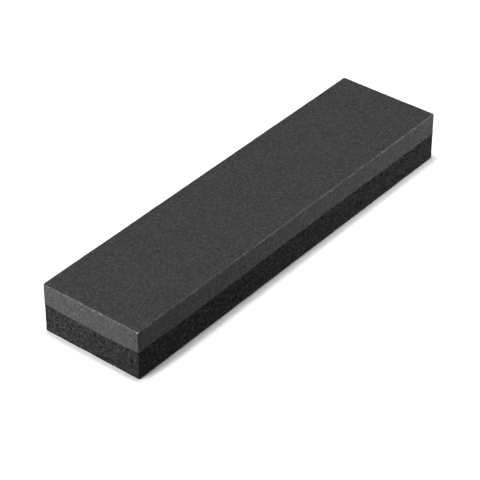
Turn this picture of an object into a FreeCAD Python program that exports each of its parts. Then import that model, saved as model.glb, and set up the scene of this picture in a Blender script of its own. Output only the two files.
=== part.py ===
"""Two-grit combination sharpening stone, a FreeCAD macro. Millimetres.

The stone is a rectangular block made of two slabs of bonded abrasive, fine above and coarse below,
joined face to face by a thin film of cement. Every size comes from the Dimensions sheet.

Frame: origin at the centre of the coarse working face, on which the stone rests,
+X along the length, +Y across the width and +Z up through the fine working face.
"""

import FreeCAD, Part
import Sketcher
import math
import os

PARTS_FOLDER = "parts"
TOLERANCE = 1e-6
VOLUME_TOLERANCE = 1e-4  # as a share of the volume

# A sketch is drawn at this size first, and its constraints then stretch it to the sheet's size.
DRAFT_LENGTH = 20.0
DRAFT_WIDTH = 10.0

# alias, value in millimetres, what it is
DRIVING_DIMENSIONS = [
    ("stone_length", 200.0, "length of both slabs, along X"),
    ("stone_width", 50.0, "width of both slabs, along Y"),
    ("fine_thickness", 9.9, "height of the fine slab"),
    ("coarse_thickness", 13.4, "height of the coarse slab"),
    ("film_thickness", 0.2, "height of the cement film between the slabs"),
    ("film_inset", 0.3, "how far the film stops short of the sides"),
    ("corner_radius", 0.8, "radius of the four upright corners"),
    ("fine_arris_radius", 0.5, "rounding of the edges of the fine working face"),
    ("coarse_arris_radius", 0.7, "rounding of the edges of the coarse working face"),
]


def make_sheet(doc):
    """The spreadsheet of driving dimensions, one aliased cell each."""
    sheet = doc.addObject("Spreadsheet::Sheet", "Dimensions")
    for row, (alias, value, meaning) in enumerate(DRIVING_DIMENSIONS, start=1):
        sheet.set(f"A{row}", alias)
        sheet.set(f"B{row}", str(value))
        sheet.set(f"C{row}", meaning)
        sheet.setAlias(f"B{row}", alias)
    doc.recompute()
    return sheet


def origin_plane(body, role):
    """One of a body's own origin planes, found by its role."""
    return next(feature for feature in body.Origin.OriginFeatures if feature.Role == role)


def centred_rectangle(body, name, length_cell, width_cell):
    """A sketch on the body's XY plane of a rectangle centred on the origin, sized by two cells."""
    sketch = body.newObject("Sketcher::SketchObject", name)
    sketch.AttachmentSupport = [(origin_plane(body, "XY_Plane"), "")]
    sketch.MapMode = "FlatFace"
    x, y = DRAFT_LENGTH / 2, DRAFT_WIDTH / 2
    corners = [FreeCAD.Vector(*place) for place in ((-x, -y), (x, -y), (x, y), (-x, y))]
    for start, end in zip(corners, corners[1:] + corners[:1]):
        sketch.addGeometry(Part.LineSegment(start, end), False)
    south, east, north, west = range(4)
    start_point, end_point, root = 1, 2, -1
    for this, following in ((south, east), (east, north), (north, west), (west, south)):
        sketch.addConstraint(Sketcher.Constraint("Coincident", this, end_point, following, start_point))
    for line in (south, north):
        sketch.addConstraint(Sketcher.Constraint("Horizontal", line))
    for line in (east, west):
        sketch.addConstraint(Sketcher.Constraint("Vertical", line))
    sketch.addConstraint(
        Sketcher.Constraint("Symmetric", south, start_point, north, start_point, root, start_point)
    )
    length = sketch.addConstraint(
        Sketcher.Constraint("DistanceX", south, start_point, south, end_point, DRAFT_LENGTH)
    )
    width = sketch.addConstraint(
        Sketcher.Constraint("DistanceY", east, start_point, east, end_point, DRAFT_WIDTH)
    )
    sketch.renameConstraint(length, "length")
    sketch.renameConstraint(width, "width")
    sketch.setExpression("Constraints.length", length_cell)
    sketch.setExpression("Constraints.width", width_cell)
    return sketch


def edges_where(feature, belongs):
    """The names of a feature's edges that pass the test."""
    return [f"Edge{i}" for i, edge in enumerate(feature.Shape.Edges, start=1) if belongs(edge)]


def is_upright(edge):
    """Whether an edge runs along Z."""
    box = edge.BoundBox
    return box.XLength < TOLERANCE and box.YLength < TOLERANCE


def lies_at(height):
    """A test for edges that lie whole in the plane Z = height."""
    return lambda edge: abs(edge.BoundBox.ZMin - height) < TOLERANCE and edge.BoundBox.ZLength < TOLERANCE


def round_edges(body, name, base, edges, radius_cell):
    """A fillet of the named edges of the base feature, its radius bound to a cell."""
    fillet = body.newObject("PartDesign::Fillet", name)
    fillet.Base = (base, edges)
    fillet.setExpression("Radius", radius_cell)
    body.Document.recompute()
    return fillet


def make_slab(doc, sheet, label, thickness_alias, arris_alias, working_face_up):
    """A slab of bonded abrasive: a padded rectangle with rounded upright corners and one eased working face.

    The face that meets the cement keeps its square edges.
    """
    body = doc.addObject("PartDesign::Body", label)
    body.Label = label
    outline = centred_rectangle(
        body, f"{label}_outline", "Dimensions.stone_length", "Dimensions.stone_width"
    )
    pad = body.newObject("PartDesign::Pad", f"{label}_pad")
    pad.Profile = outline
    pad.setExpression("Length", f"Dimensions.{thickness_alias}")
    doc.recompute()
    corners = round_edges(
        body, f"{label}_corners", pad, edges_where(pad, is_upright), "Dimensions.corner_radius"
    )
    working_height = getattr(sheet, thickness_alias) if working_face_up else 0.0
    round_edges(
        body,
        f"{label}_arris",
        corners,
        edges_where(corners, lies_at(working_height)),
        f"Dimensions.{arris_alias}",
    )
    return body


def make_film(doc, label):
    """The cement film, a plain thin plate set in from the slabs' sides all round."""
    film = doc.addObject("Part::Box", label)
    film.Label = label
    film.setExpression("Length", "Dimensions.stone_length - 2 * Dimensions.film_inset")
    film.setExpression("Width", "Dimensions.stone_width - 2 * Dimensions.film_inset")
    film.setExpression("Height", "Dimensions.film_thickness")
    film.setExpression(".Placement.Base.x", "-Length / 2")
    film.setExpression(".Placement.Base.y", "-Width / 2")
    film.setExpression(".Placement.Base.z", "Dimensions.coarse_thickness")
    return film


def expected_slab_volume(sheet, thickness, arris):
    """The volume of a slab in closed form, but for the arris's turn round the upright corners."""
    length, width, corner = sheet.stone_length, sheet.stone_width, sheet.corner_radius
    lost_to_rounding = 1 - math.pi / 4
    plan = length * width - 4 * lost_to_rounding * corner**2
    rim = 2 * (length + width) - 8 * corner + 2 * math.pi * corner
    return plan * thickness - lost_to_rounding * arris**2 * rim


def check(doc, nodes, sheet):
    """Stops the macro if any object failed, or a sub-part isn't one sound solid of the right size."""
    for item in doc.Objects:
        if "Invalid" in item.State or "Error" in item.State:
            raise RuntimeError(f"{item.Label} did not compute: {item.State}")
    for node in nodes:
        if node.Shape.isNull() or not node.Shape.isValid() or len(node.Shape.Solids) != 1:
            raise RuntimeError(f"{node.Label} is not one valid solid")
    fine, coarse, film = nodes
    expected = {
        fine.Label: expected_slab_volume(sheet, sheet.fine_thickness, sheet.fine_arris_radius),
        coarse.Label: expected_slab_volume(sheet, sheet.coarse_thickness, sheet.coarse_arris_radius),
        film.Label: film.Length.Value * film.Width.Value * film.Height.Value,
    }
    for node in nodes:
        if abs(node.Shape.Volume / expected[node.Label] - 1) > VOLUME_TOLERANCE:
            raise RuntimeError(f"{node.Label} has volume {node.Shape.Volume}, not {expected[node.Label]}")
    for first, second in ((fine, coarse), (fine, film), (coarse, film)):
        if first.Shape.common(second.Shape).Volume > TOLERANCE:
            raise RuntimeError(f"{first.Label} overlaps {second.Label}")


def main():
    doc = FreeCAD.newDocument("CombinationStone")
    sheet = make_sheet(doc)

    coarse = make_slab(doc, sheet, "coarse_grit_slab", "coarse_thickness", "coarse_arris_radius", False)
    film = make_film(doc, "bond_film")
    fine = make_slab(doc, sheet, "fine_grit_slab", "fine_thickness", "fine_arris_radius", True)
    fine.setExpression(".Placement.Base.z", "Dimensions.coarse_thickness + Dimensions.film_thickness")
    doc.recompute()

    nodes = (fine, coarse, film)
    check(doc, nodes, sheet)
    os.makedirs(PARTS_FOLDER, exist_ok=True)
    for node in nodes:
        node.Shape.exportStep(os.path.join(PARTS_FOLDER, node.Label + ".step"))
        box = node.Shape.BoundBox
        print(
            f"{node.Label}: {box.XLength:.2f} x {box.YLength:.2f} x {box.ZLength:.2f} mm,"
            f" Z {box.ZMin:.2f} to {box.ZMax:.2f}, {node.Shape.Volume / 1000:.2f} cm3"
        )


main()
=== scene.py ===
import math

import bmesh
import bpy
import numpy as np
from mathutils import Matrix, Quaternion, Vector
from mathutils.geometry import delaunay_2d_cdt


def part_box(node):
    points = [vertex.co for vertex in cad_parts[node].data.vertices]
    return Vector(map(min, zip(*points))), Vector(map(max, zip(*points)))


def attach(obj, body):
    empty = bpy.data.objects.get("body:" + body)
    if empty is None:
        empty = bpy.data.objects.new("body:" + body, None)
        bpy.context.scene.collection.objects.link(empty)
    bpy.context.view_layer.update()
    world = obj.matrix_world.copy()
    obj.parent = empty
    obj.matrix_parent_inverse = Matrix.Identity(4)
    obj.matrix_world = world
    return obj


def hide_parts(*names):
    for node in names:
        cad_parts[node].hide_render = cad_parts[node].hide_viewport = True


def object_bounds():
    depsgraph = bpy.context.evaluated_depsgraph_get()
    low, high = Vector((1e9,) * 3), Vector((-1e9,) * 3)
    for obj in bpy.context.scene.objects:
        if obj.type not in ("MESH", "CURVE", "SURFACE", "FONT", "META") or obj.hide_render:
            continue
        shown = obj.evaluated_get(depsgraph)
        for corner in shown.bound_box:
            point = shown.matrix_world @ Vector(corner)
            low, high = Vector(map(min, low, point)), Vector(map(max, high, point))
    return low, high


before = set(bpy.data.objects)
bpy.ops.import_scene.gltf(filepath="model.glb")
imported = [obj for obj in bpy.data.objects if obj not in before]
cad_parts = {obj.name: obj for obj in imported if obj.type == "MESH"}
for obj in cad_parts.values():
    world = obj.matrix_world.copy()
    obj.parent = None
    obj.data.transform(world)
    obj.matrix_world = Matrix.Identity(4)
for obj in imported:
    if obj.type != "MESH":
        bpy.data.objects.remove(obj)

# A two-grit bench stone: a fine slab cemented on a coarse one, lying on its coarse face.
# Everything is in metres. X runs along the stone, Y across it and Z up through the fine face.

MM = 0.001

# The stone's box, and the slabs' places in it, as the CAD has them.
CAD_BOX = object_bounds()
LOW, HIGH = CAD_BOX
CENTRE = (LOW + HIGH) / 2
LENGTH, WIDTH = (HIGH - LOW).xy
FILM_LOW, FILM_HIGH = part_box("bond_film")
JOINT = (FILM_LOW.z + FILM_HIGH.z) / 2
FILM_HALF = (FILM_HIGH.z - FILM_LOW.z) / 2

# Edges, the same as in the CAD.
CORNER_RADIUS = 0.8 * MM
FINE_ARRIS = 0.5 * MM
COARSE_ARRIS = 0.7 * MM

# Mesh density: the spacing of points on the seen faces and on the hidden joint faces.
SIDE_PITCH = 0.45 * MM
FACE_PITCH = 0.62 * MM
HIDDEN_PITCH = 3.0 * MM
CORNER_STEPS = 6
ARRIS_STEPS = 6

# Edges that turn by more than this are shaded sharp.
SHARP_ANGLE = math.radians(55)

# How much the cement falls short of the gap's top and bottom. Near the sides, where the joint is
# uneven, its faces still cross the slabs' hidden faces a little.
FILM_CLEARANCE = 0.01 * MM

# A slab's small and broad unevenness: its faces dip by up to twice these. And the depth of its pores.
FINE_RELIEF = 0.030 * MM
FINE_BROAD_RELIEF = 0.022 * MM
COARSE_RELIEF = 0.035 * MM
COARSE_BROAD_RELIEF = 0.6 * COARSE_RELIEF
PORE_DEPTH = 0.20 * MM

# Each part of the stone draws its noise and its nicks from its own run of seeds.
JOINT_SEED = 0
FINE_SEED = 10
COARSE_SEED = 20
FILM_SEED = 30


# ---------------------------------------------------------------- seeded noise

# The table's length is a power of two, and the primes spread the cells of space over it.
NOISE_COUNT = 4096
NOISE_TABLE = np.random.default_rng(20).random(NOISE_COUNT)
PRIME_X, PRIME_Y, PRIME_Z = 73856093, 19349663, 83492791
SEED_SHIFT = 131.7


def noise(points, size, seed):
    """Smooth values from -1 to 1 at these points, which change over about size metres."""
    cells = points / size + SEED_SHIFT * seed
    corner = np.floor(cells).astype(np.int64)
    part = cells - corner
    part = part * part * (3 - 2 * part)
    total = np.zeros(len(points))
    for step in np.ndindex(2, 2, 2):
        x, y, z = (corner + step).T
        mixed = (x * PRIME_X) ^ (y * PRIME_Y) ^ (z * PRIME_Z)
        weight = np.where(step, part, 1 - part).prod(axis=1)
        total += weight * NOISE_TABLE[mixed & (NOISE_COUNT - 1)]
    return total * 2 - 1


def smooth_step(values, start, end):
    """0 up to start, 1 from end on, and a smooth rise between them."""
    part = np.clip((values - start) / (end - start), 0, 1)
    return part * part * (3 - 2 * part)


# ---------------------------------------------------------------- the stone's plan

def outline():
    """Points round the stone's plan, anticlockwise, and the outward direction at each."""
    radius = CORNER_RADIUS
    points, outward = [], []
    for side in range(4):
        angle = side * math.pi / 2
        out = np.array([math.cos(angle), math.sin(angle)])
        along = np.array([-out[1], out[0]])
        reach, run = (LENGTH, WIDTH) if side % 2 == 0 else (WIDTH, LENGTH)
        reach, run = reach / 2, run / 2 - radius
        count = round(2 * run / SIDE_PITCH)
        for i in range(count):
            points.append(out * reach + along * run * (2 * i / count - 1))
            outward.append(out)
        centre = out * (reach - radius) + along * run
        for i in range(CORNER_STEPS):
            turn = i / CORNER_STEPS * math.pi / 2
            direction = out * math.cos(turn) + along * math.sin(turn)
            points.append(centre + direction * radius)
            outward.append(direction)
    return np.array(points) + [CENTRE.x, CENTRE.y], np.array(outward)


PLAN, OUTWARD = outline()


def at_height(plan, z):
    """Points in plan as points in space. z is one height, or one for each point."""
    return np.column_stack([plan, np.broadcast_to(z, len(plan))])


def joint_height(plan):
    """The height of the joint between the slabs, which strays by up to half a millimetre."""
    x, y = (plan - [CENTRE.x, CENTRE.y]).T
    points = at_height(plan, 0.0)
    wave_length, wave_peak = 150 * MM, 15 * MM
    wave = 0.30 * MM * np.cos(2 * math.pi * (x - wave_peak) / wave_length)
    near_end = smooth_step(-x, 0.6 * LENGTH / 2, LENGTH / 2)
    sag = -0.40 * MM * np.cos(math.pi * y / WIDTH) * near_end
    uneven = 0.12 * MM * noise(points, 14 * MM, JOINT_SEED + 1)
    coarse_grain = 0.16 * MM * noise(points, 1.5 * MM, JOINT_SEED + 2)
    fine_grain = 0.10 * MM * noise(points, 0.7 * MM, JOINT_SEED + 3)
    # The grain only shapes the joint near the sides, where the points are close together.
    edge = np.maximum(np.abs(x) - LENGTH / 2, np.abs(y) - WIDTH / 2)
    at_side = smooth_step(edge, -3 * MM, -1 * MM)
    return JOINT + wave + sag + uneven + (coarse_grain + fine_grain) * at_side


def fill(loop, pitch):
    """Triangles that fill a closed loop of plan points, with new points pitch apart inside it.
    Gives the new points, and the triangles as numbers into the loop's points and then those."""
    low, high = loop.min(axis=0), loop.max(axis=0)
    rows = np.arange(low[1] + pitch, high[1] - 0.5 * pitch, pitch * math.sqrt(0.75))
    inside = []
    for number, y in enumerate(rows):
        start = low[0] + pitch * (1.0 if number % 2 else 1.5)
        for x in np.arange(start, high[0] - 0.6 * pitch, pitch):
            inside.append((x, y))
    inside = np.array(inside)
    # The corners are rounded, so lattice points too near one are left out.
    near = np.abs(inside - (low + high) / 2) - ((high - low) / 2 - 1.2 * CORNER_RADIUS)
    inside = inside[(near > 0).sum(axis=1) < 2]
    every = np.vstack([loop, inside])
    within_loop, nearness = 1, 1e-6
    rim = [list(range(len(loop)))]
    result = delaunay_2d_cdt([Vector(p) for p in every / MM], [], rim, within_loop, nearness)
    source = [numbers[0] for numbers in result[3]]
    return inside, [[source[i] for i in face] for face in result[2]]


# ---------------------------------------------------------------- slabs

class Shell:
    """A closed mesh made of rows of points round the plan, closed by a filled face at each end."""

    def __init__(self):
        self.points = []
        self.faces = []
        self.rows = []

    def add_points(self, points):
        start = sum(len(p) for p in self.points)
        self.points.append(points)
        return start

    def add_row(self, plan, z):
        start = self.add_points(at_height(plan, z))
        count = len(plan)
        if self.rows:
            last = self.rows[-1][0]
            for i in range(count):
                j = (i + 1) % count
                self.faces.append((last + i, last + j, start + j, start + i))
        self.rows.append((start, plan))

    def close(self, row, pitch, height):
        """Fills a row's loop. height gives the height of the points inside it."""
        start, plan = self.rows[row]
        inside, faces = fill(plan, pitch)
        shift = self.add_points(at_height(inside, height(inside))) - len(plan)
        for face in faces:
            self.faces.append([start + i if i < len(plan) else shift + i for i in face])

    def all_points(self):
        return np.vstack(self.points)


def slab_shell(face_z, arris, seed):
    """A slab from its working face at face_z to the cement, with an eased arris of uneven radius."""
    shell = Shell()
    inward = 1 if face_z < JOINT else -1
    edge = at_height(PLAN, face_z)
    slow = 0.18 * noise(edge, 9 * MM, seed + 1)
    quick = 0.16 * noise(edge, 2.2 * MM, seed + 2)
    radius = arris * (1 + slow + quick)
    for step in range(ARRIS_STEPS + 1):
        angle = step / ARRIS_STEPS * math.pi / 2
        inset = radius * (1 - math.sin(angle))
        drop = radius * (1 - math.cos(angle))
        shell.add_row(PLAN - OUTWARD * inset[:, None], face_z + inward * drop)
    arris_edge = face_z + inward * radius
    joint_edge = joint_height(PLAN) - inward * FILM_HALF
    count = round(abs(JOINT - face_z) / SIDE_PITCH)
    for step in range(1, count + 1):
        shell.add_row(PLAN, arris_edge + (joint_edge - arris_edge) * step / count)
    shell.close(0, FACE_PITCH, lambda plan: face_z)
    shell.close(-1, HIDDEN_PITCH, lambda plan: joint_height(plan) - inward * FILM_HALF)
    return shell


def outward_normals(points, face_z, arris):
    """The direction out of a slab at each point, found from the smooth shape that it was made from."""
    core_low = np.array([LOW.x, LOW.y]) + CORNER_RADIUS
    core_high = np.array([HIGH.x, HIGH.y]) - CORNER_RADIUS
    core = np.clip(points[:, :2], core_low, core_high)
    out = points[:, :2] - core
    reach = np.linalg.norm(out, axis=1)
    sideways = smooth_step(reach, CORNER_RADIUS - arris, CORNER_RADIUS)
    direction = 1 if face_z > JOINT else -1
    depth = (face_z - points[:, 2]) * direction
    upward = direction * (1 - smooth_step(depth, 0, arris))
    unit = out / np.maximum(reach, 1e-9)[:, None]
    normals = np.column_stack([unit * sideways[:, None], upward])
    return normals / np.maximum(np.linalg.norm(normals, axis=1), 1e-9)[:, None]


def carve(points, wear_and_highlight, chip, radius, fresh_and_highlight):
    """Scoops a chip out of an edge: points inside the ball are pushed to its surface.
    The last number says how much lighter the broken grit is painted, partly for fresh grit and partly as a
    painted highlight; 1 is as light as a worn edge."""
    away = points - chip
    distance = np.linalg.norm(away, axis=1)
    inside = distance < radius
    stretch = radius / np.maximum(distance, 1e-9)
    points[inside] = chip + away[inside] * stretch[inside, None]
    rim = 1.15 * radius
    wear_and_highlight[distance < rim] = fresh_and_highlight


def edge_nicks(face_z, count, largest, seed):
    """Small random nicks round the arris of a working face: where each is, and its ball's radius."""
    draw = np.random.default_rng(seed)
    upward = 1 if face_z > JOINT else -1
    nicks = []
    for spot in draw.integers(0, len(PLAN), count):
        radius = largest * draw.uniform(0.35, 1.0)
        # The ball's middle lies outside the arris, as far out sideways as it is upward.
        reach = 0.7 * radius * draw.uniform(0.45, 0.8)
        centre = np.append(PLAN[spot] + OUTWARD[spot] * reach, face_z + upward * reach)
        nicks.append((centre, radius))
    return nicks


def face_outwards(mesh):
    """Turns every face outwards, and shades the mesh smooth but for its sharp edges."""
    work = bmesh.new()
    work.from_mesh(mesh)
    bmesh.ops.recalc_face_normals(work, faces=work.faces)
    work.to_mesh(mesh)
    work.free()
    mesh.shade_smooth()
    mesh.set_sharp_from_angle(angle=SHARP_ANGLE)
    mesh.validate()
    mesh.update()


def finish_mesh(name, shell, points, wear_and_highlight, material, node):
    """The mesh as a piece of the model: smooth, closed, and standing for its CAD node."""
    mesh = bpy.data.meshes.new(name)
    mesh.from_pydata([tuple(p) for p in points], [], shell.faces)
    face_outwards(mesh)
    # Lightening at each point for the material: partly wear and chips, partly a painted highlight on the
    # edges.
    attribute = mesh.attributes.new("wear_and_highlight", "FLOAT", "POINT")
    attribute.data.foreach_set("value", wear_and_highlight.astype(np.float32))
    mesh.materials.append(material)
    piece = bpy.data.objects.new(name, mesh)
    bpy.context.scene.collection.objects.link(piece)
    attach(piece, "root")
    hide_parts(node)


def insets(points):
    """How far each point lies inside the nearer end of the stone, and inside its nearer long side."""
    inset_x = np.minimum(points[:, 0] - LOW.x, HIGH.x - points[:, 0])
    inset_y = np.minimum(points[:, 1] - LOW.y, HIGH.y - points[:, 1])
    return inset_x, inset_y


def arris_wear_and_highlight(points, face_z, reach, seed):
    """How much each point is lightened, from 0 to 1, partly for wear and partly as a painted highlight
    where edges catch the light: most on the eased arris and the upright corners.
    """
    inset_x, inset_y = insets(points)
    to_side = np.minimum(inset_x, inset_y)
    to_face = np.abs(points[:, 2] - face_z)
    arris = 1 - smooth_step(np.hypot(to_side, to_face), 0.25 * reach, reach)
    upright = 1 - smooth_step(np.hypot(inset_x, inset_y), 0.3 * reach, 1.1 * reach)
    patchy = 0.62 + 0.38 * noise(points, 4 * MM, seed) + 0.25 * noise(points, 0.9 * MM, seed + 1)
    return np.clip(np.maximum(arris, 0.7 * upright) * patchy, 0, 1)


def fine_slab(material):
    """The upper slab, with chips where they show and small nicks all round its face."""
    face_z = HIGH.z
    shell = slab_shell(face_z, FINE_ARRIS, FINE_SEED)
    points = shell.all_points()
    normals = outward_normals(points, face_z, FINE_ARRIS)
    relief = FINE_RELIEF * (noise(points, 0.9 * MM, FINE_SEED + 3) - 1)
    relief += FINE_BROAD_RELIEF * (noise(points, 5 * MM, FINE_SEED + 4) - 1)
    clear_of_joint = smooth_step(points[:, 2] - JOINT, 0.6 * MM, 1.2 * MM)
    points += normals * (relief * clear_of_joint)[:, None]
    wear_and_highlight = arris_wear_and_highlight(points, face_z, 0.75 * MM, FINE_SEED + 5)
    near_end, front = LOW.x, LOW.y
    # Each chip's place on an edge, its ball's radius, and how much lighter it is painted: partly fresh
    # grit, partly a painted highlight where the edge catches the light.
    chips = [
        ((near_end, HIGH.y - 27.0 * MM, face_z), 0.60 * MM, 2.3),
        ((near_end, HIGH.y - 28.1 * MM, face_z), 0.50 * MM, 1.9),
        ((near_end, HIGH.y - 20.7 * MM, face_z), 0.45 * MM, 1.8),
        ((near_end, HIGH.y - 30.5 * MM, face_z), 0.50 * MM, 2.0),
        # The near corner is painted far lighter, as a painted highlight as well as fresh grit.
        ((near_end, front, face_z), 1.10 * MM, 5.0),
        # These small chips on the front edge are painted lighter, partly as a painted highlight along that
        # edge.
        ((near_end + 161 * MM, front, face_z), 0.45 * MM, 1.6),
        ((near_end + 172 * MM, front, face_z), 0.50 * MM, 1.7),
        ((near_end + 176 * MM, front, face_z), 0.45 * MM, 1.6),
    ]
    for place, radius, fresh_and_highlight in chips:
        # The ball's middle lies a little outside each face that meets at the edge.
        out = np.sign(np.array(place) - [CENTRE.x, CENTRE.y, JOINT])
        meeting = np.array([place[0] == near_end, place[1] == front, True])
        carve(points, wear_and_highlight, np.array(place) + out * meeting * 0.25 * radius, radius, fresh_and_highlight)
    for place, radius in edge_nicks(face_z, 46, 0.45 * MM, FINE_SEED + 6):
        carve(points, wear_and_highlight, place, radius, 1.3)
    finish_mesh("fine_stone", shell, points, wear_and_highlight, material, "fine_grit_slab")


def coarse_slab(material):
    """The lower slab, with open grit and pores that are rubbed down along its arris."""
    face_z = LOW.z
    shell = slab_shell(face_z, COARSE_ARRIS, COARSE_SEED)
    points = shell.all_points()
    normals = outward_normals(points, face_z, COARSE_ARRIS)
    relief = COARSE_RELIEF * (noise(points, 0.85 * MM, COARSE_SEED + 3) - 1)
    relief += COARSE_BROAD_RELIEF * (noise(points, 1.7 * MM, COARSE_SEED + 4) - 1)
    relief -= PORE_DEPTH * smooth_step(noise(points, 1.15 * MM, COARSE_SEED + 5), 0.38, 0.8)
    clear_of_joint = smooth_step(JOINT - points[:, 2], 0.5 * MM, 1.2 * MM)
    to_side = np.minimum(*insets(points))
    to_face = points[:, 2] - face_z
    clear_of_arris = smooth_step(np.hypot(to_side, to_face), 0.6 * MM, 1.8 * MM)
    left_at_arris = 0.25
    relief *= clear_of_joint * (left_at_arris + (1 - left_at_arris) * clear_of_arris)
    points += normals * relief[:, None]
    wear_and_highlight = arris_wear_and_highlight(points, face_z, 0.9 * MM, COARSE_SEED + 6)
    for place, radius in edge_nicks(face_z, 26, 0.38 * MM, COARSE_SEED + 7):
        carve(points, wear_and_highlight, place, radius, 1.0)
    finish_mesh("coarse_stone", shell, points, wear_and_highlight, material, "coarse_grit_slab")


def cement_film(material):
    """The line of cement between the slabs, whose uneven edge lies mostly inside their sides."""
    shell = Shell()
    half = FILM_HALF - FILM_CLEARANCE
    edge = at_height(PLAN, JOINT)
    slow = 0.07 * MM * noise(edge, 2.5 * MM, FILM_SEED + 1)
    quick = 0.05 * MM * noise(edge, 0.8 * MM, FILM_SEED + 2)
    inset = 0.12 * MM + slow + quick
    for level in (-1.0, -0.4, 0.4, 1.0):
        bulge = 0.05 * MM * (1 - level * level)
        plan = PLAN - OUTWARD * (inset - bulge)[:, None]
        shell.add_row(plan, joint_height(plan) + level * half)
    shell.close(0, HIDDEN_PITCH, lambda plan: joint_height(plan) - half)
    shell.close(-1, HIDDEN_PITCH, lambda plan: joint_height(plan) + half)
    points = shell.all_points()
    wear_and_highlight = np.zeros(len(points))
    finish_mesh("cement_line", shell, points, wear_and_highlight, material, "bond_film")


# ---------------------------------------------------------------- materials

# Most of the values of a noise texture lie between these.
NOISE_LOW, NOISE_HIGH = 0.3, 0.7


class Nodes:
    """Short calls for building a material's nodes."""

    def __init__(self, name):
        self.material = bpy.data.materials.new(name)
        self.material.use_nodes = True
        self.tree = self.material.node_tree
        self.shader = self.tree.nodes["Principled BSDF"]
        self.place = self.new("ShaderNodeTexCoord").outputs["Object"]

    def new(self, kind, **settings):
        node = self.tree.nodes.new(kind)
        for key, value in settings.items():
            setattr(node, key, value)
        return node

    def put(self, socket, value):
        if isinstance(value, bpy.types.NodeSocket):
            self.tree.links.new(value, socket)
        else:
            socket.default_value = value

    def noise(self, size, detail=2.0, rough=0.5):
        node = self.new("ShaderNodeTexNoise")
        self.put(node.inputs["Vector"], self.place)
        node.inputs["Scale"].default_value = 1 / size
        node.inputs["Detail"].default_value = detail
        node.inputs["Roughness"].default_value = rough
        return node.outputs["Fac"]

    def shaken(self, size):
        """The place, shaken by up to three quarters of size, so that cells lose their straight sides."""
        reach = 1.5 * size
        shake = self.new("ShaderNodeTexNoise")
        self.put(shake.inputs["Vector"], self.place)
        shake.inputs["Scale"].default_value = 1.6 / size
        shake.inputs["Detail"].default_value = 2.0
        centred = self.new("ShaderNodeVectorMath", operation="SUBTRACT")
        self.put(centred.inputs[0], shake.outputs["Color"])
        centred.inputs[1].default_value = (0.5, 0.5, 0.5)
        moved = self.new("ShaderNodeVectorMath", operation="MULTIPLY_ADD")
        self.put(moved.inputs[0], centred.outputs["Vector"])
        moved.inputs[1].default_value = (reach, reach, reach)
        self.put(moved.inputs[2], self.place)
        return moved.outputs["Vector"]

    def grains(self, size):
        """Cells of about this size: the distance from each one's middle, and its random shade."""
        node = self.new("ShaderNodeTexVoronoi")
        self.put(node.inputs["Vector"], self.shaken(size))
        node.inputs["Scale"].default_value = 1 / size
        split = self.new("ShaderNodeSeparateColor")
        self.put(split.inputs["Color"], node.outputs["Color"])
        return node.outputs["Distance"], split.outputs["Red"]

    def math(self, operation, a, b=0.0, c=0.0):
        node = self.new("ShaderNodeMath", operation=operation)
        for socket, value in zip(node.inputs, (a, b, c)):
            self.put(socket, value)
        return node.outputs["Value"]

    def span(self, value, from_low, from_high, to_low, to_high):
        """The value moved from one range to another, and held within it."""
        node = self.new("ShaderNodeMapRange")
        for socket, number in zip(node.inputs, (value, from_low, from_high, to_low, to_high)):
            self.put(socket, number)
        return node.outputs["Result"]

    def vary(self, value, amount):
        """A factor that a noise value moves by up to about this amount to either side of 1."""
        return self.span(value, NOISE_LOW, NOISE_HIGH, 1 - amount, 1 + amount)

    def grey(self, value, tint=(1.0, 1.0, 1.0)):
        """A neutral colour of this brightness, times a tint."""
        node = self.new("ShaderNodeCombineColor")
        for socket, part in zip(node.inputs, tint):
            self.put(socket, self.math("MULTIPLY", value, part))
        return node.outputs["Color"]

    def bump(self, height, distance, strength):
        node = self.new("ShaderNodeBump")
        node.inputs["Distance"].default_value = distance
        node.inputs["Strength"].default_value = strength
        self.put(node.inputs["Height"], height)
        self.put(self.shader.inputs["Normal"], node.outputs["Normal"])

    # Lightening of edges and chips: partly wear, partly a painted highlight.
    def wear_and_highlight(self):
        return self.new("ShaderNodeAttribute", attribute_name="wear_and_highlight").outputs["Fac"]


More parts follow.
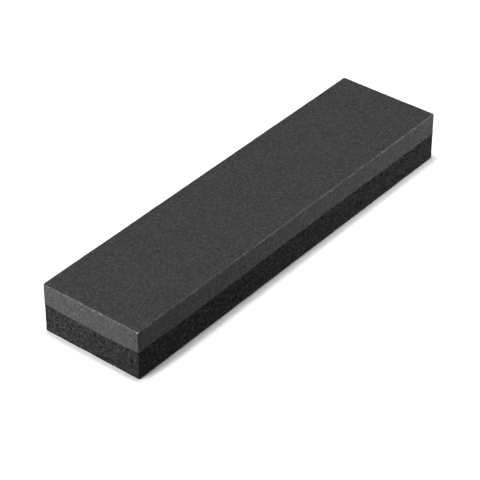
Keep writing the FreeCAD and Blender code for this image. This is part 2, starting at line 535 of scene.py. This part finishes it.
def stone_material(name, base, grain, look):
    """Bonded abrasive grit. base is its reflectance, grain the size that shows, look its contrasts."""
    n = Nodes(name)
    # Broad clouds, patches of grains, single grains, the dust on them, and pores, whose pits are painted
    # dark as shade.
    cloud = n.vary(n.noise(14 * MM, 3.0), look["cloud"])
    mottle = n.span(n.noise(grain * 1.6, 3.0, 0.6), 0.28, 0.72, 1 - look["mottle"], 1 + look["mottle"])
    distance, shade = n.grains(grain * 0.55)
    speckle = n.span(shade, 0.0, 1.0, 1 - look["speckle"], 1 + look["speckle"])
    speckle = n.math("MULTIPLY", speckle, n.vary(n.noise(grain * 0.22, 2.0), look["dust"]))
    # Painted shade: the pits of pores are darkened, where the bump below sinks them.
    pore_pit_and_shade = n.span(n.noise(grain * 1.1, 1.0), 0.62, 0.72, 1.0, 1 - look["pore_pit_and_shade"])
    value = n.math("MULTIPLY", n.math("MULTIPLY", cloud, mottle), n.math("MULTIPLY", speckle, pore_pit_and_shade))
    # A few grains turn a glossy facet outwards, and their colour is painted lighter as a glint.
    glint_facet_distance, glint_facet_shade = n.grains(grain * 0.8)
    bright = n.span(glint_facet_shade, 1 - look["glint_facet_share"], 1.0, 0.0, 1.0)
    middle = n.span(glint_facet_distance, 0.18, 0.42, 1.0, 0.0)
    glossy_facet_and_painted_glint = n.math("MULTIPLY", bright, middle)
    # Painted glint: these grains' colour is lightened.
    value = n.math("MULTIPLY_ADD", glossy_facet_and_painted_glint, look["painted_glint_gain"], value)
    # Worn edges and fresh chips are lighter, and are painted lighter still as a highlight where they catch
    # the light.
    value = n.math("MULTIPLY_ADD", n.math("MULTIPLY", n.wear_and_highlight(), speckle), look["wear_and_highlight"], value)
    n.put(n.shader.inputs["Base Color"], n.grey(n.math("MULTIPLY", value, base)))
    roughest, smoothest = look["rough"] + 0.06, look["rough"] - 0.06
    rough = n.span(n.noise(grain * 0.9, 2.0), NOISE_LOW, NOISE_HIGH, smoothest, roughest)
    n.put(n.shader.inputs["Roughness"], n.math("MULTIPLY_ADD", glossy_facet_and_painted_glint, -0.4, rough))
    n.shader.inputs["Specular IOR Level"].default_value = look["specular"]
    height = n.math("MULTIPLY_ADD", distance, -0.6, n.noise(grain * 0.7, 4.0, 0.65))
    n.bump(n.math("MULTIPLY_ADD", pore_pit_and_shade, 0.5, height), look["bump"], 0.9)
    return n.material


def fine_material():
    """Mid-dark grey grit, fine and tightly bonded."""
    look = {
        "cloud": 0.05, "dust": 0.22, "mottle": 0.34, "speckle": 0.42, "pore_pit_and_shade": 0.45, "glint_facet_share": 0.07,
        "painted_glint_gain": 1.1, "wear_and_highlight": 1.20, "rough": 0.88, "specular": 0.22, "bump": 0.14 * MM,
    }
    return stone_material("fine_grit", base=0.0305, grain=0.80 * MM, look=look)


def coarse_material():
    """Near-black grit, coarse and open, with more pores and brighter painted glints on its facets."""
    look = {
        "cloud": 0.07, "dust": 0.30, "mottle": 0.62, "speckle": 0.85, "pore_pit_and_shade": 0.90, "glint_facet_share": 0.13,
        "painted_glint_gain": 3.0, "wear_and_highlight": 0.45, "rough": 0.90, "specular": 0.05, "bump": 0.30 * MM,
    }
    return stone_material("coarse_grit", base=0.0145, grain=0.92 * MM, look=look)


def cement_material():
    """Dark cured resin, slightly glossy, with grit caught in it."""
    n = Nodes("cement")
    base, warm_tint = 0.03, (1.0, 0.99, 0.95)
    smear = n.span(n.noise(2.5 * MM, 3.0), NOISE_LOW, NOISE_HIGH, 0.75, 1.3)
    distance, shade = n.grains(0.35 * MM)
    value = n.math("MULTIPLY", smear, n.span(shade, 0.0, 1.0, 0.8, 1.25))
    n.put(n.shader.inputs["Base Color"], n.grey(n.math("MULTIPLY", value, base), warm_tint))
    rough = n.span(n.noise(0.8 * MM, 2.0), NOISE_LOW, NOISE_HIGH, 0.42, 0.62)
    n.put(n.shader.inputs["Roughness"], rough)
    n.shader.inputs["Specular IOR Level"].default_value = 0.3
    n.bump(n.math("MULTIPLY_ADD", distance, -0.5, n.noise(0.5 * MM, 3.0)), 0.05 * MM, 0.8)
    return n.material


def studio_material():
    """Matt white card, with a trace of unevenness."""
    n = Nodes("white_card")
    value = n.span(n.noise(0.3, 2.0), NOISE_LOW, NOISE_HIGH, 0.97, 0.99)
    n.put(n.shader.inputs["Base Color"], n.grey(value))
    n.shader.inputs["Roughness"].default_value = 1.0
    n.shader.inputs["Specular IOR Level"].default_value = 0.0
    return n.material


# ---------------------------------------------------------------- studio

FLOOR_RADIUS = 1.3
FLOOR_RINGS = 13
SWEEP_RADIUS = 0.9
SWEEP_STEPS = 16
WALL_TOP = 2.2
STUDIO_TURNS = 96


def studio_profile():
    """The radius and height of each ring of the studio's floor, its sweep and its wall."""
    rings = [(FLOOR_RADIUS * i / FLOOR_RINGS, 0.0) for i in range(1, FLOOR_RINGS)]
    for i in range(SWEEP_STEPS + 1):
        bend = i / SWEEP_STEPS * math.pi / 2
        rings.append((FLOOR_RADIUS + SWEEP_RADIUS * math.sin(bend), SWEEP_RADIUS * (1 - math.cos(bend))))
    rings.append((FLOOR_RADIUS + SWEEP_RADIUS, WALL_TOP))
    return rings


def studio():
    """A round white floor that sweeps up into a wall all the way round."""
    turns = STUDIO_TURNS
    rings = studio_profile()
    middle = Vector((CENTRE.x, CENTRE.y, LOW.z))
    points = [middle]
    for radius, height in rings:
        for i in range(turns):
            angle = 2 * math.pi * i / turns
            points.append(middle + Vector((radius * math.cos(angle), radius * math.sin(angle), height)))
    faces = [(0, 1 + i, 1 + (i + 1) % turns) for i in range(turns)]
    for ring in range(len(rings) - 1):
        start = 1 + ring * turns
        for i in range(turns):
            j = (i + 1) % turns
            faces.append((start + i, start + turns + i, start + turns + j, start + j))
    mesh = bpy.data.meshes.new("studio")
    mesh.from_pydata(points, [], faces)
    mesh.shade_smooth()
    mesh.materials.append(studio_material())
    floor = bpy.data.objects.new("studio", mesh)
    bpy.context.scene.collection.objects.link(floor)
    # The white floor doesn't light the stone, whose sides would lose their dark tones.
    floor.visible_diffuse = False
    floor.visible_glossy = False


def soft_light(name, place, aim, size, power):
    """A flat area light at place, turned to aim. Both are offsets from the stone's centre."""
    data = bpy.data.lights.new(name, "AREA")
    data.shape = "RECTANGLE"
    data.size, data.size_y = size
    data.energy = power
    light = bpy.data.objects.new(name, data)
    bpy.context.scene.collection.objects.link(light)
    light.location = CENTRE + Vector(place)
    direction = Vector(aim) - Vector(place)
    light.rotation_mode = "QUATERNION"
    light.rotation_quaternion = direction.to_track_quat("-Z", "Y")


def lights():
    """Two lights overhead, one over the far half, and low ones by the near end, the front and the back."""
    centre, near_end, far_half = (0.0, 0.0, 0.0), (-0.10, 0.0, 0.0), (0.07, 0.0, 0.0)
    soft_light("overhead_key", (0.0, 0.12, 1.10), centre, size=(0.10, 0.10), power=4.6)
    soft_light("overhead_wide", (-0.04, 0.03, 1.10), centre, size=(0.25, 0.25), power=2.5)
    soft_light("far_top", (0.07, 0.0, 0.35), far_half, size=(0.15, 0.15), power=0.60)
    soft_light("near_left", (-0.35, 0.10, 0.04), near_end, size=(0.20, 0.09), power=2.5)
    soft_light("far_right", (0.30, -0.32, 0.045), far_half, size=(0.20, 0.09), power=2.9)
    soft_light("behind", (0.55, 0.70, 0.12), centre, size=(0.40, 0.25), power=1.5)


# The room's light, and where it starts and is full: each is the sine of an angle over the horizon.
ROOM_LIGHT = 0.03
DARK_BELOW = -0.35
FULL_ABOVE = 0.7


def room():
    """Soft light from the room: brightest overhead, and fading to dark below the horizon."""
    world = bpy.data.worlds.new("room")
    world.use_nodes = True
    tree = world.node_tree
    background = tree.nodes["Background"]
    direction = tree.nodes.new("ShaderNodeTexCoord")
    split = tree.nodes.new("ShaderNodeSeparateXYZ")
    fade = tree.nodes.new("ShaderNodeMapRange")
    fade.interpolation_type = "SMOOTHSTEP"
    fade.inputs["From Min"].default_value = DARK_BELOW
    fade.inputs["From Max"].default_value = FULL_ABOVE
    tree.links.new(direction.outputs["Generated"], split.inputs["Vector"])
    tree.links.new(split.outputs["Z"], fade.inputs["Value"])
    tree.links.new(fade.outputs["Result"], background.inputs["Color"])
    background.inputs["Strength"].default_value = ROOM_LIGHT
    bpy.context.scene.world = world


# The camera's place round the point that it looks at, and its long lens.
VIEW_AZIMUTH = math.radians(-51.02)
VIEW_ELEVATION = math.radians(35.97)
VIEW_ROLL = math.radians(0.17)
VIEW_DISTANCE = 0.8389
LENS_MM = 151.3
SENSOR_MM = 36.0
CLIP_START = 0.01
AIM = CENTRE + Vector((-15.82 * MM, -7.28 * MM, 0.0))


def camera():
    """A camera on a long lens, turned to AIM and rolled a little."""
    data = bpy.data.cameras.new("camera")
    data.lens = LENS_MM
    data.sensor_width = SENSOR_MM
    data.clip_start = CLIP_START
    back = Vector((
        math.sin(VIEW_AZIMUTH) * math.cos(VIEW_ELEVATION),
        -math.cos(VIEW_AZIMUTH) * math.cos(VIEW_ELEVATION),
        math.sin(VIEW_ELEVATION),
    ))
    seat = bpy.data.objects.new("camera", data)
    bpy.context.scene.collection.objects.link(seat)
    seat.location = AIM + back * VIEW_DISTANCE
    seat.rotation_mode = "QUATERNION"
    turn = (-back).to_track_quat("-Z", "Y")
    turn.rotate(Quaternion(back, -VIEW_ROLL))
    seat.rotation_quaternion = turn
    bpy.context.scene.camera = seat


# ---------------------------------------------------------------- the scene

fine_slab(fine_material())
coarse_slab(coarse_material())
cement_film(cement_material())
studio()
lights()
room()
camera()
bpy.context.scene.view_settings.view_transform = "Standard"
